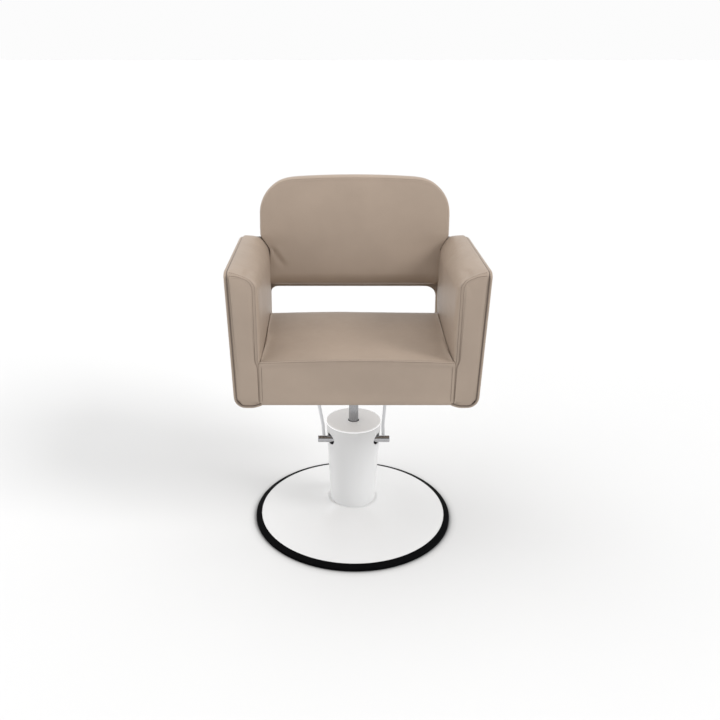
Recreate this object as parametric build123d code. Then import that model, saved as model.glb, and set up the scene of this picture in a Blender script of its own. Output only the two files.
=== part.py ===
from build123d import *
import math
import os

# Salon styling chair on a hydraulic column.  Millimetres, +Z up, front of the chair faces -Y.
# Origin: centre of the round base, on the floor.  The sitter's left hand is on +X.

# ---------------------------------------------------------------- driving dimensions
# round base
BASE_R = 300.0            # outer radius of the rubber rim
RIM_INNER_R = 283.4       # where the rim meets the white cover
RIM_EDGE_H = 8.5          # height of the rim at its outer edge
RIM_TOP_H = 15.0          # height of the rim at the cover
PLATE_Z0, PLATE_Z1 = 3.0, 11.0
COVER_T = 2.5             # wall of the base cover
COVER_EDGE_H = 14.0       # base cover height at the rim
SHOULDER_R, SHOULDER_H = 76.0, 62.0
NECK_R = 58.0             # hole of the base cover

# column cover
COL_R0, COL_R1 = 68.0, 81.0
COL_Z0, COL_Z1 = 62.2, 320.6
COL_T = 2.0
CAP_Z0, CAP_Z1 = 320.9, 325.4
CAP_HOLE_R = 17.0

# pump
RAM_R = 14.0
FIT = 0.05                # running clearance, radial
GAP = 0.3                 # gap between pieces that only lie against each other
FLANGE_R, FLANGE_Z1 = 78.0, 22.0
FOOT_BOLT_R = 66.0
TANK_R, TANK_T = 55.0, 4.0
TANK_Z0, HEAD_Z0, HEAD_Z1 = 40.0, 236.0, 302.0
BORE_R = 20.0             # bore of the lift cylinder
BUSH_R = 18.0
PLUNGER_X, PLUNGER_Y, PLUNGER_R = 34.0, -10.0, 6.0

# pedal lever
SHAFT_Y, SHAFT_Z, SHAFT_R = -36.0, 280.0, 10.0
SHAFT_HALF = 106.0
SHAFT_HOLE_R = 17.0       # clearance hole in the column cover
FINGER_LEN = 26.0
ROD_R, ROD_X = 5.0, 88.5
ROD_BEND = (91.5, 50.0)   # X, Y of the bend
ROD_END = (116.0, 287.0)  # X, Y where the rod enters the pedal bar
PEDAL_R, PEDAL_HALF = 8.0, 132.0

# ram and swivel
RAM_Z0, RAM_Z1 = 190.0, 485.0
HUB_R, HUB_Z0, HUB_Z1 = 24.0, 437.0, 496.8

# seat
SEAT_HALF_W = 247.4
SEAT_FRONT, SEAT_BOTTOM, SEAT_TOP = -262.0, 497.0, 619.0
BOARD_Z0, BOARD_Z1 = 503.0, 521.0

# arms
ARM_IN = 248.0            # inner face
ARM_OUT_LOW, ARM_OUT_TOP = 317.0, 328.0
ARM_BOTTOM, ARM_TOP = 490.0, 862.0
ARM_MID_Y, ARM_MID_FALL = 110.0, 5.0         # almost level back to here
ARM_REAR_Y, ARM_REAR_FALL = 240.0, 32.0      # then falling; trimmed at the back board
ARM_PANEL_T = 6.0
ARM_CORNER_R = 30.0
PIPING_R = 2.2

# back, measured in its own leaning plane
LEAN = 8.0                # degrees
BACK_FOOT_Y, BACK_FOOT_Z = 146.0, 613.0      # a point of the front plane
CUSHION_T, BACK_BOARD_T, BACK_PANEL_T = 46.0, 15.0, 12.0
BACK_HALF_W = 274.0
BACK_TOP, BACK_BOTTOM = 402.0, 84.0          # up the slope from the foot point
TOP_ARCH_R = 2990.0                          # the top edge is very slightly arched
BACK_CORNER_R = 100.0
SHOULDER_UP = 232.0                          # underside of the cushion's shoulders, up the slope
BOARD_SHOULDER_UP = 218.0                    # top of the board's wide part, hidden behind the arms
WINDOW_LOW, WINDOW_TOP = -24.0, 79.0         # edges of the window, up the slope
WINDOW_HALF_W = 255.0

OUT = "parts"
os.makedirs(OUT, exist_ok=True)


def save(shape, name):
    shape.label = name
    export_step(shape, os.path.join(OUT, name + ".step"))


def ring(r_in, r_out, z0, z1, x=0.0, y=0.0):
    """Upright tube."""
    body = Pos(x, y, (z0 + z1) / 2) * Cylinder(r_out, z1 - z0)
    return body - Pos(x, y, (z0 + z1) / 2) * Cylinder(r_in, z1 - z0 + 2)


def disc(r, z0, z1, x=0.0, y=0.0):
    """Upright cylinder."""
    return Pos(x, y, (z0 + z1) / 2) * Cylinder(r, z1 - z0)


def bar_x(r, x0, x1, y, z):
    """Cylinder lying along X."""
    return Pos((x0 + x1) / 2, y, z) * Rot(0, 90, 0) * Cylinder(r, x1 - x0)


def block(x0, x1, y0, y1, z0, z1):
    """Box from its limits."""
    return Pos((x0 + x1) / 2, (y0 + y1) / 2, (z0 + z1) / 2) * Box(x1 - x0, y1 - y0, z1 - z0)


def turned(points):
    """Solid of revolution about Z from (radius, height) points."""
    outline = Polyline(*[(r, 0, z) for r, z in points], close=True)
    return revolve(make_face(outline), Axis.Z)


def hex_bolt(shank_r, length, head_r, head_h):
    """Bolt pointing down -Z with its head seat at the local origin."""
    head = extrude(RegularPolygon(head_r, 6), head_h)
    shank = Pos(0, 0, -length / 2) * Cylinder(shank_r, length)
    return head + shank


def coil(radius, wire_r, height, turns):
    """Open compression spring standing on the local origin."""
    path = Helix(pitch=height / turns, height=height, radius=radius)
    start = Plane(path @ 0, z_dir=path % 0)
    return sweep(start * Circle(wire_r), path=path, is_frenet=True)


def mirrored(shape):
    """The same piece on the other side of the chair."""
    return mirror(shape, Plane.YZ)


# ---------------------------------------------------------------- base
rim_outline = [
    (270.0, 0.0), (BASE_R, 0.0), (BASE_R, RIM_EDGE_H), (RIM_INNER_R + 1.5, RIM_TOP_H),
    (RIM_INNER_R, RIM_TOP_H), (RIM_INNER_R, PLATE_Z0 - 0.2), (270.0, PLATE_Z0 - 0.2),
]
save(turned(rim_outline), "base_rim")

base_plate = disc(RIM_INNER_R - 0.6, PLATE_Z0, PLATE_Z1)
for k in range(4):
    a = math.radians(45 + 90 * k)
    x, y = FOOT_BOLT_R * math.cos(a), FOOT_BOLT_R * math.sin(a)
    base_plate -= disc(5.2, PLATE_Z0 - 1, PLATE_Z1 + 1, x, y)
save(base_plate, "base_plate")

pads = []
for k in range(6):
    a = math.radians(60 * k)
    pads.append(disc(14.0, 0.0, PLATE_Z0 - 0.1, 225.0 * math.cos(a), 225.0 * math.sin(a)))
save(Compound(children=pads), "floor_pads")


def cover_height(r):
    """Height of the white base cover at radius r: a low cone that flares up to the column."""
    s = (RIM_INNER_R - 0.5 - r) / (RIM_INNER_R - 0.5 - SHOULDER_R)
    return COVER_EDGE_H + (SHOULDER_H - COVER_EDGE_H) * (0.40 * s + 0.60 * s ** 4)


radii = [RIM_INNER_R - 0.5 - (RIM_INNER_R - 0.5 - SHOULDER_R) * k / 12 for k in range(13)]
top_curve = Spline(*[(r, 0, cover_height(r)) for r in radii])
under_curve = Spline(*[(r, 0, cover_height(r) - COVER_T) for r in reversed(radii)])
neck = Polyline(
    (SHOULDER_R, 0, SHOULDER_H), (NECK_R, 0, SHOULDER_H),
    (NECK_R, 0, SHOULDER_H - COVER_T), (SHOULDER_R, 0, SHOULDER_H - COVER_T),
)
edge = Line(under_curve @ 1, top_curve @ 0)
save(revolve(make_face([top_curve, neck, under_curve, edge]), Axis.Z), "base_cover")

# ---------------------------------------------------------------- pump
foot = disc(FLANGE_R, PLATE_Z1 + 0.1, FLANGE_Z1) + disc(TANK_R + 1.0, FLANGE_Z1, TANK_Z0)
bolts = []
for k in range(4):
    a = math.radians(45 + 90 * k)
    x, y = FOOT_BOLT_R * math.cos(a), FOOT_BOLT_R * math.sin(a)
    foot -= disc(5.2, 0, FLANGE_Z1 + 1, x, y)
    bolts.append(Pos(x, y, FLANGE_Z1 + 0.1) * hex_bolt(5.0, 17.0, 8.5, 6.5))
foot -= disc(BORE_R, TANK_Z0 - 8, TANK_Z0 + 1)
save(foot, "pump_foot")
save(Compound(children=bolts), "foot_bolts")

save(ring(TANK_R - TANK_T, TANK_R, TANK_Z0 + 0.1, HEAD_Z0 - 0.1), "reservoir_tube")
save(ring(BORE_R, BORE_R + 4.0, TANK_Z0 + 0.1, HEAD_Z0 - 0.1), "cylinder_tube")
save(ring(PLUNGER_R + FIT, 10.0, 180.0, HEAD_Z0 - 0.1, PLUNGER_X, PLUNGER_Y), "plunger_barrel")

SLOT_FLOOR = 244.0
head = disc(TANK_R, HEAD_Z0, HEAD_Z1)
head -= disc(BUSH_R + 0.1, HEAD_Z0 - 1, HEAD_Z1 + 1)
head -= bar_x(SHAFT_R + 2.6, -60, 60, SHAFT_Y, SHAFT_Z)
for side in (-1, 1):
    head -= block(side * PLUNGER_X - 8, side * PLUNGER_X + 8, -60, 4, SLOT_FLOOR, HEAD_Z1 + 1)
head -= disc(PLUNGER_R + 0.4, HEAD_Z0 - 1, SLOT_FLOOR + 1, PLUNGER_X, PLUNGER_Y)
head -= disc(4.0 + FIT, HEAD_Z0 - 1, SLOT_FLOOR + 1, -PLUNGER_X, PLUNGER_Y)
save(head, "pump_head")

bushes = []
for x0, x1 in ((-25.5, -6.0), (6.0, 25.5)):
    bush = bar_x(SHAFT_R + 2.5, x0, x1, SHAFT_Y, SHAFT_Z)
    bushes.append(bush - bar_x(SHAFT_R + FIT, x0 - 1, x1 + 1, SHAFT_Y, SHAFT_Z))
save(Compound(children=bushes), "shaft_bushes")

save(ring(RAM_R + FIT, BUSH_R, HEAD_Z0 + 2, HEAD_Z1 - 0.1), "guide_bush")
save(ring(RAM_R + 3.0, 22.0, HEAD_Z1 + 0.1, HEAD_Z1 + 9.0), "gland_nut")
save(ring(RAM_R + FIT, RAM_R + 2.8, HEAD_Z1 + 0.1, HEAD_Z1 + 8.0), "ram_seal")

# ---------------------------------------------------------------- column cover
col_wall = turned([(COL_R0 - COL_T, COL_Z0), (COL_R0, COL_Z0), (COL_R1, COL_Z1), (COL_R1 - COL_T, COL_Z1)])
col_wall -= bar_x(SHAFT_HOLE_R, -120, 120, SHAFT_Y, SHAFT_Z)
save(col_wall, "column_cover")

cap = disc(COL_R1 + 0.3, CAP_Z0, CAP_Z1)
cap = fillet(cap.edges().group_by(Axis.Z)[-1], 2.5)
cap += disc(COL_R1 - COL_T - 1.0, CAP_Z0 - 5.0, CAP_Z0)
cap -= disc(COL_R1 - COL_T - 3.0, CAP_Z0 - 6.0, CAP_Z0)
cap -= disc(CAP_HOLE_R, CAP_Z0 - 1, CAP_Z1 + 1)
save(cap, "column_cap")
save(ring(RAM_R + FIT, CAP_HOLE_R - 0.1, CAP_Z0 + 0.2, CAP_Z1 - 1.0), "cap_grommet")

# ---------------------------------------------------------------- pedal lever
shaft = bar_x(SHAFT_R, -SHAFT_HALF, SHAFT_HALF, SHAFT_Y, SHAFT_Z)
shaft = chamfer(shaft.edges(), 1.2)
rod_path = FilletPolyline(
    (ROD_X, SHAFT_Y - 5, SHAFT_Z), (ROD_BEND[0], ROD_BEND[1], SHAFT_Z), (ROD_END[0], ROD_END[1], SHAFT_Z),
    radius=120.0,
)
rod_start = Plane(rod_path @ 0, z_dir=rod_path % 0)
rod_left = sweep(rod_start * Circle(ROD_R), path=rod_path)
rod_room = sweep(rod_start * Circle(ROD_R + 0.1), path=rod_path)
rod_room += mirrored(rod_room)
shaft -= rod_room
for side in (-1, 1):
    shaft -= disc(2.55, SHAFT_Z - 11, SHAFT_Z - 5.3, side * ROD_X, SHAFT_Y)
save(shaft, "lever_shaft")

fingers = []
for x in (-PLUNGER_X, PLUNGER_X):
    finger = bar_x(15.0, x - 5, x + 5, SHAFT_Y, SHAFT_Z)
    finger += block(x - 5, x + 5, SHAFT_Y, SHAFT_Y + FINGER_LEN, SHAFT_Z - 5, SHAFT_Z + 5)
    finger += bar_x(5.0, x - 5, x + 5, SHAFT_Y + FINGER_LEN, SHAFT_Z)
    fingers.append(finger - bar_x(SHAFT_R + 0.02, x - 6, x + 6, SHAFT_Y, SHAFT_Z))
save(Compound(children=fingers), "shaft_fingers")

save(rod_left, "lever_rod_left")
save(mirrored(rod_left), "lever_rod_right")
screws = [disc(2.5, SHAFT_Z - 9.9, SHAFT_Z - 5.3, side * ROD_X, SHAFT_Y) for side in (-1, 1)]
save(Compound(children=screws), "rod_screws")

pedal = bar_x(PEDAL_R, -PEDAL_HALF, PEDAL_HALF, ROD_END[1], SHAFT_Z) - rod_room
sleeve = bar_x(13.0, -98, 98, ROD_END[1], SHAFT_Z)
sleeve = fillet(sleeve.edges(), 3.0) - bar_x(PEDAL_R + 0.1, -99, 99, ROD_END[1], SHAFT_Z)
save(pedal, "pedal_bar")
save(sleeve, "pedal_sleeve")
caps = []
for side in (-1, 1):
    outer = bar_x(10.0, PEDAL_HALF - 8, PEDAL_HALF + 2.5, ROD_END[1], SHAFT_Z)
    one = outer - bar_x(PEDAL_R + 0.1, PEDAL_HALF - 9, PEDAL_HALF + 0.1, ROD_END[1], SHAFT_Z)
    caps.append(one if side == 1 else mirrored(one))
save(Compound(children=caps), "pedal_caps")

# ---------------------------------------------------------------- plunger and release pin
PLUNGER_TOP = SHAFT_Z - 5.1
plunger = disc(PLUNGER_R, 196.0, PLUNGER_TOP - 1, PLUNGER_X, PLUNGER_Y)
plunger += disc(7.5, PLUNGER_TOP - 4, PLUNGER_TOP, PLUNGER_X, PLUNGER_Y)
save(plunger, "plunger")
spring = Pos(PLUNGER_X, PLUNGER_Y, SLOT_FLOOR + 1.2) * coil(7.3 - 0.1, 0.6, 24.0, 6)
save(spring, "plunger_spring")
save(disc(4.0, 200.0, 266.4, -PLUNGER_X, PLUNGER_Y), "release_pin")

# ---------------------------------------------------------------- ram
ram = disc(RAM_R, RAM_Z0, RAM_Z1) + disc(8.0, RAM_Z0 - 20, RAM_Z0)
ram = chamfer(ram.edges().group_by(Axis.Z)[-1], 1.5)
save(ram, "ram")
save(ring(8.02, BORE_R - FIT, RAM_Z0 - 22, RAM_Z0 - 0.1), "ram_piston")
save(disc(RAM_R - 1.5, RAM_Z1 + 0.05, RAM_Z1 + 4.0), "ram_washer")

# ---------------------------------------------------------------- bracket
hub = ring(RAM_R + FIT, HUB_R, HUB_Z0, HUB_Z1) + disc(HUB_R, RAM_Z1 + 4.1, HUB_Z1)
save(hub, "swivel_hub")

BRACKET_HALF, BRACKET_BOLT = 95.0, 78.0
bracket = block(-BRACKET_HALF, BRACKET_HALF, -BRACKET_HALF, BRACKET_HALF, HUB_Z1 + 0.1, BOARD_Z0 - 0.1)
bracket = fillet(bracket.edges().filter_by(Axis.Z), 18.0)
# four gussets from the hub out along the plate
gusset = block(-2.5, 2.5, HUB_R - 1.5, 80, HUB_Z1 - 30, HUB_Z1 + 0.1)
gusset -= Pos(0, 80, HUB_Z1 - 30) * Rot(0, 90, 0) * Cylinder(24.0, 10)
for k in range(4):
    bracket += Rot(0, 0, 90 * k) * gusset
bracket -= disc(HUB_R + 0.05, HUB_Z0, HUB_Z1 + 0.1)
plate_bolts = []
seat_board = block(-241, 241, -242, 300, BOARD_Z0, BOARD_Z1)
seat_board = fillet(seat_board.edges().filter_by(Axis.Z).group_by(Axis.Y)[0], 12.0)
for sx in (-1, 1):
    for sy in (-1, 1):
        x, y = sx * BRACKET_BOLT, sy * BRACKET_BOLT
        bracket -= disc(4.2, 490, 504, x, y)
        seat_board -= disc(4.2, 490, BOARD_Z1 + 1, x, y)
        plate_bolts.append(Pos(x, y, HUB_Z1) * Rot(180, 0, 0) * hex_bolt(4.0, 22.0, 7.0, 5.3))
save(bracket, "seat_bracket")
save(Compound(children=plate_bolts), "bracket_bolts")

# ---------------------------------------------------------------- back planes and outlines
# The back leans in its own plane: u runs across the chair, v up the slope, w towards the sitter.
back_plane = Plane(
    origin=(0, BACK_FOOT_Y, BACK_FOOT_Z), x_dir=(1, 0, 0),
    z_dir=(0, -math.cos(math.radians(LEAN)), math.sin(math.radians(LEAN))),
)


def back_slab(outline, w0, w1):
    """Slab between two depths of the leaning back, from a sketch in its plane."""
    return extrude(back_plane.offset(w0) * outline, w1 - w0)


def rect(u0, u1, v0, v1):
    """Rectangle from its limits."""
    return Pos((u0 + u1) / 2, (v0 + v1) / 2) * Rectangle(u1 - u0, v1 - v0)


def back_outline(inset, half_low, shoulder):
    """Outline of the back: arched head with round corners, wider or narrower part below the shoulder."""
    head_part = rect(-BACK_HALF_W + inset, BACK_HALF_W - inset, shoulder, BACK_TOP - inset)
    head_part &= Pos(0, BACK_TOP - inset - TOP_ARCH_R) * Circle(TOP_ARCH_R)
    corners = head_part.vertices().group_by(Axis.Y)[-1]
    head_part = fillet(corners, BACK_CORNER_R - inset)
    return head_part + rect(-half_low, half_low, BACK_BOTTOM, shoulder + 1)


CUSHION_BACK = -CUSHION_T
BOARD_FACE = CUSHION_BACK - GAP
BOARD_REAR = BOARD_FACE - BACK_BOARD_T
PANEL_FACE = BOARD_REAR - GAP
BOARD_FOOT = -112.0
window = rect(-WINDOW_HALF_W, WINDOW_HALF_W, WINDOW_LOW, WINDOW_TOP)
window = fillet(window.vertices(), 14.0)
behind_board = back_slab(rect(-400, 400, -300, 500), -400, BOARD_FACE + GAP)

board_outline = back_outline(4.0, 310.0, BOARD_SHOULDER_UP)
board_outline += rect(-310, 310, BOARD_FOOT, BACK_BOTTOM + 1)
back_board = back_slab(board_outline - window, BOARD_REAR, BOARD_FACE)
panel_outline = back_outline(0.0, 316.0, BOARD_SHOULDER_UP)
panel_outline += rect(-316, 316, BOARD_FOOT - 4, BACK_BOTTOM + 1)
back_panel = back_slab(panel_outline - window, PANEL_FACE - BACK_PANEL_T, PANEL_FACE)
back_panel = fillet(back_panel.faces().sort_by(Axis.Y)[-1].edges(), 5.0)
save(back_panel, "back_panel")

back_cushion = back_slab(back_outline(0.0, SEAT_HALF_W - 4.0, SHOULDER_UP), CUSHION_BACK, 0.0)
back_cushion = fillet(back_cushion.faces().sort_by(Axis.Y)[0].edges(), 9.0)
save(back_cushion, "back_cushion")

# ---------------------------------------------------------------- seat
ARM_BOLT_Y = (-180.0, -40.0, 100.0)
ARM_BOLT_Z = 512.0

seat = block(-SEAT_HALF_W, SEAT_HALF_W, SEAT_FRONT, 300, SEAT_BOTTOM, SEAT_TOP) - behind_board
seat_ends = seat.edges().filter_by(Axis.X).group_by(Axis.Z)[-1].sort_by(Axis.Y)
seat = fillet(seat_ends[0], 12.0)
seat = fillet(seat.edges().filter_by(Axis.X).group_by(Axis.Z)[-1].sort_by(Axis.Y)[-1], 48.0)
seat -= block(-241.4, 241.4, -242.4, 300, SEAT_BOTTOM - 1, BOARD_Z1 + GAP)

seat_board -= behind_board
for y in ARM_BOLT_Y:
    for side in (-1, 1):
        seat_board -= bar_x(4.15, min(side * 205, side * 250), max(side * 205, side * 250), y, ARM_BOLT_Z)
        seat -= bar_x(4.15, min(side * 235, side * 250), max(side * 235, side * 250), y, ARM_BOLT_Z)
save(seat, "seat_cushion")
cloth = block(-225, 225, -225, 150, BOARD_Z0 - 1.4, BOARD_Z0 - 0.2)
cloth -= block(-BRACKET_HALF - 2, BRACKET_HALF + 2, -BRACKET_HALF - 2, BRACKET_HALF + 2, 500, 504)
save(cloth, "dust_cover")

# ---------------------------------------------------------------- arms (built for the +X side)
def section(points, radii, y, drop):
    """Arm section at depth y; points higher than the seat are lowered by drop."""
    lowered = [(x, z - drop if z > 700 else z) for x, z in points]
    outline = Plane.XZ.offset(-y) * make_face(Polyline(*lowered, close=True))
    for (x, z), r in zip(lowered, radii):
        if r > 0:
            corner = outline.vertices().sort_by_distance((x, y, z))[0]
            outline = fillet(corner, r)
    return outline


def arm_body(points, radii, y0=SEAT_FRONT):
    """Straight-sided body through three sections, trimmed at the back board."""
    front = section(points, radii, y0, 0.0)
    middle = section(points, radii, ARM_MID_Y, ARM_MID_FALL)
    rear = section(points, radii, ARM_REAR_Y, ARM_REAR_FALL)
    return loft([front, middle, rear], ruled=True) - behind_board


t = ARM_PANEL_T
g = t + GAP
pad_points = [
    (ARM_IN, ARM_BOTTOM + g), (ARM_OUT_LOW - g, ARM_BOTTOM + g),
    (ARM_OUT_TOP - g, ARM_TOP), (ARM_IN, ARM_TOP - 22.0),
]
arm_pad = arm_body(pad_points, (0, ARM_CORNER_R - t, 5.5, 32.0))
arm_pad = fillet(arm_pad.faces().sort_by(Axis.Y)[0].edges(), 4.5)

# the outer cover keeps behind the welt at its front and top edges
WELT_ROOM = PIPING_R + 0.3
panel_top = ARM_TOP - WELT_ROOM
panel_points = [
    (ARM_IN + 2, ARM_BOTTOM), (ARM_OUT_LOW, ARM_BOTTOM), (ARM_OUT_TOP, panel_top),
    (ARM_OUT_TOP - t, panel_top), (ARM_OUT_LOW - t, ARM_BOTTOM + t), (ARM_IN + 2, ARM_BOTTOM + t),
]
arm_panel = arm_body(panel_points, (0, ARM_CORNER_R, 0, 0, ARM_CORNER_R - t, 0), y0=SEAT_FRONT + WELT_ROOM)

frame_points = [(286.0, 502.0), (301.0, 502.0), (311.0, 828.0), (296.0, 828.0)]
pocket_points = [(285.7, 501.7), (301.3, 501.7), (311.3, 828.3), (295.7, 828.3)]
arm_frame = arm_body(frame_points, (0, 0, 0, 0), y0=-248.0)
arm_pad -= arm_body(pocket_points, (0, 0, 0, 0), y0=-248.3)

# welt between the pad and the outer cover: up the front edge and back along the top
seam_low = (ARM_IN + 6, ARM_BOTTOM + t)
seam_corner = (ARM_OUT_LOW - t, ARM_BOTTOM + t)
seam_top = (ARM_OUT_TOP - t, ARM_TOP + 0.4)
welt_y = SEAT_FRONT - 0.4
front_seam = FilletPolyline(
    (seam_low[0], welt_y, seam_low[1]), (seam_corner[0], welt_y, seam_corner[1]),
    (seam_top[0], welt_y, seam_top[1]), radius=ARM_CORNER_R - t,
)
top_seam = Line((seam_top[0], welt_y, seam_top[1]), (seam_top[0], ARM_MID_Y, seam_top[1] - ARM_MID_FALL))
rear_seam = Line(top_seam @ 1, (seam_top[0], ARM_REAR_Y, seam_top[1] - ARM_REAR_FALL))


def welt(path):
    """Round cord along a seam."""
    return sweep(Plane(path @ 0, z_dir=path % 0) * Circle(PIPING_R), path=path)


piping = welt(front_seam) + welt(top_seam) + welt(rear_seam)
for bend in (top_seam @ 0, top_seam @ 1):
    piping += Pos(*bend) * Sphere(PIPING_R)
piping -= behind_board

arm_bolts = []
for y in ARM_BOLT_Y:
    arm_frame -= bar_x(4.15, 280, 330, y, ARM_BOLT_Z)
    arm_frame -= bar_x(8.0, 295.5, 330, y, ARM_BOLT_Z)
    arm_pad -= bar_x(4.15, 240, 290, y, ARM_BOLT_Z)
    bolt = Pos(295.6, y, ARM_BOLT_Z) * Rot(0, 90, 0) * hex_bolt(4.0, 88.0, 7.2, 4.4)
    arm_bolts += [bolt, mirrored(bolt)]

# bolts of the back board: two into each arm frame, three into the seat board
BACK_BOLTS = [(295.0, -55.0), (299.5, 90.0)]
SEAT_BOLTS = [(-150.0, -99.0), (0.0, -99.0), (150.0, -99.0)]
bolt_spots = [(s * u, v) for u, v in BACK_BOLTS for s in (-1, 1)] + SEAT_BOLTS
back_bolts = []
for u, v in bolt_spots:
    back_board -= back_slab(Pos(u, v) * Circle(4.15), BOARD_REAR - 1, BOARD_FACE + 1)
    back_board -= back_slab(Pos(u, v) * Circle(8.0), BOARD_REAR - 1, BOARD_REAR + 5.2)
    seat_board -= back_slab(Pos(u, v) * Circle(4.15), BOARD_FACE - 1, BOARD_FACE + 45)
    arm_frame -= back_slab(Pos(u, v) * Circle(4.15), BOARD_FACE - 1, BOARD_FACE + 45)
    shank = back_slab(Pos(u, v) * Circle(4.0), BOARD_REAR + 5.1, BOARD_FACE + 44)
    head = back_slab(Pos(u, v) * RegularPolygon(7.2, 6), BOARD_REAR + 0.6, BOARD_REAR + 5.1)
    back_bolts.append(shank + head)

save(back_board, "back_board")
save(seat_board, "seat_board")
save(Compound(children=arm_bolts), "arm_bolts")
save(Compound(children=back_bolts), "back_bolts")
arm_pieces = {"arm_pad": arm_pad, "arm_panel": arm_panel, "arm_frame": arm_frame, "arm_piping": piping}
for name, piece in arm_pieces.items():
    save(piece, name + "_left")
    save(mirrored(piece), name + "_right")
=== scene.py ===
"""Salon styling chair: the looks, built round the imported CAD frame.

Metres, +Z up, front of the chair at -Y, the sitter's left at +X.
"""
import math

import bmesh
import bpy
import numpy as np
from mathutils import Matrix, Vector


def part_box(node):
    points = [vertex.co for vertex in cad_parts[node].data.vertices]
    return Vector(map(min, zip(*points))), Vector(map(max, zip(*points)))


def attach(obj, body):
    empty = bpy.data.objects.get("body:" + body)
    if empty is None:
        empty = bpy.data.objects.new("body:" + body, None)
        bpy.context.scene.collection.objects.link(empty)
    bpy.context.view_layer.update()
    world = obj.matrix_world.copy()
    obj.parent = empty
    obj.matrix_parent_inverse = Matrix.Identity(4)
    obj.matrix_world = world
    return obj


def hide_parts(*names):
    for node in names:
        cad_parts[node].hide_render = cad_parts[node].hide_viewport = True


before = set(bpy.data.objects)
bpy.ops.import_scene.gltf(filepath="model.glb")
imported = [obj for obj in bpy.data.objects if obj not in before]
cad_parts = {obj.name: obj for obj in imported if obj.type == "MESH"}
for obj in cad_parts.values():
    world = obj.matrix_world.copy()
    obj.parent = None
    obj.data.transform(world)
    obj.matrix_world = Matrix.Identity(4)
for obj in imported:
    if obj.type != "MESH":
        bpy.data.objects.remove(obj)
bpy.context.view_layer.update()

# ---------------- numbers shared with the CAD
# The back has its own leaning axes from a foot point: u across, v up the slope, w towards the sitter.
LEAN = math.radians(8.0)
BACK_FOOT = np.array((0.0, 0.146, 0.613))
ACROSS = np.array((1.0, 0.0, 0.0))
UPWARD = np.array((0.0, math.sin(LEAN), math.cos(LEAN)))
FORWARD = np.array((0.0, -math.cos(LEAN), math.sin(LEAN)))
CUSHION_T = 0.046       # thickness of the back cushion
BOARD_FACE = -0.0463    # w of the back board's front

SEAT_LO, SEAT_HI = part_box("seat_cushion")
ARM_LO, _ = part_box("arm_pad_left")
PANEL_LO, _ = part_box("arm_panel_left")
FRONT_Y = SEAT_LO.y
ARM_LENGTH = 0.46       # along Y, up to the back board


def board_y(z):
    """Depth of the back board's front at a height."""
    v = (z - BACK_FOOT[2] - BOARD_FACE * FORWARD[2]) / UPWARD[2]
    return BACK_FOOT[1] + v * UPWARD[1] + BOARD_FACE * FORWARD[1]


def smooth_step(value, low, high):
    """0 below low, 1 above high, smooth between."""
    x = np.clip((value - low) / (high - low), 0.0, 1.0)
    return x * x * (3 - 2 * x)


# ---------------- materials
def principled(name, colour, rough, metallic=0.0, specular=0.5):
    """New material; returns it with its node tree and shader."""
    mat = bpy.data.materials.new(name)
    mat.use_nodes = True
    shader = mat.node_tree.nodes["Principled BSDF"]
    shader.inputs["Base Color"].default_value = (*colour, 1.0)
    shader.inputs["Roughness"].default_value = rough
    shader.inputs["Metallic"].default_value = metallic
    shader.inputs["Specular IOR Level"].default_value = specular
    return mat, mat.node_tree, shader


def noise(tree, scale, detail=3.0, roughness=0.5, stretch=None):
    """Noise texture in object space."""
    coords = tree.nodes.new("ShaderNodeTexCoord")
    node = tree.nodes.new("ShaderNodeTexNoise")
    node.inputs["Scale"].default_value = scale
    node.inputs["Detail"].default_value = detail
    node.inputs["Roughness"].default_value = roughness
    source = coords.outputs["Object"]
    if stretch:
        mapping = tree.nodes.new("ShaderNodeMapping")
        mapping.inputs["Scale"].default_value = stretch
        tree.links.new(source, mapping.inputs["Vector"])
        source = mapping.outputs["Vector"]
    tree.links.new(source, node.inputs["Vector"])
    return node.outputs["Fac"]


def ramp(tree, value, low, high, a=0.0, b=1.0):
    """Maps a value between a and b onto low..high."""
    node = tree.nodes.new("ShaderNodeMapRange")
    node.inputs["From Min"].default_value = a
    node.inputs["From Max"].default_value = b
    node.inputs["To Min"].default_value = low
    node.inputs["To Max"].default_value = high
    tree.links.new(value, node.inputs["Value"])
    return node.outputs["Result"]


def product(tree, a, b):
    """Product of two values."""
    node = tree.nodes.new("ShaderNodeMath")
    node.operation = "MULTIPLY"
    tree.links.new(a, node.inputs[0])
    tree.links.new(b, node.inputs[1])
    return node.outputs["Value"]


def two_tone(tree, value, dark, light):
    """Colour between two tones."""
    node = tree.nodes.new("ShaderNodeMix")
    node.data_type = "RGBA"
    node.inputs["A"].default_value = (*dark, 1.0)
    node.inputs["B"].default_value = (*light, 1.0)
    tree.links.new(value, node.inputs["Factor"])
    return node.outputs["Result"]


def bump(tree, height, strength, distance, normal=None):
    """Bump node; chain it through normal."""
    node = tree.nodes.new("ShaderNodeBump")
    node.inputs["Strength"].default_value = strength
    node.inputs["Distance"].default_value = distance
    tree.links.new(height, node.inputs["Height"])
    if normal:
        tree.links.new(normal, node.inputs["Normal"])
    return node.outputs["Normal"]


def scaled(colour, k):
    """Lighter or darker shade of a colour."""
    return tuple(c * k for c in colour)


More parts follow.
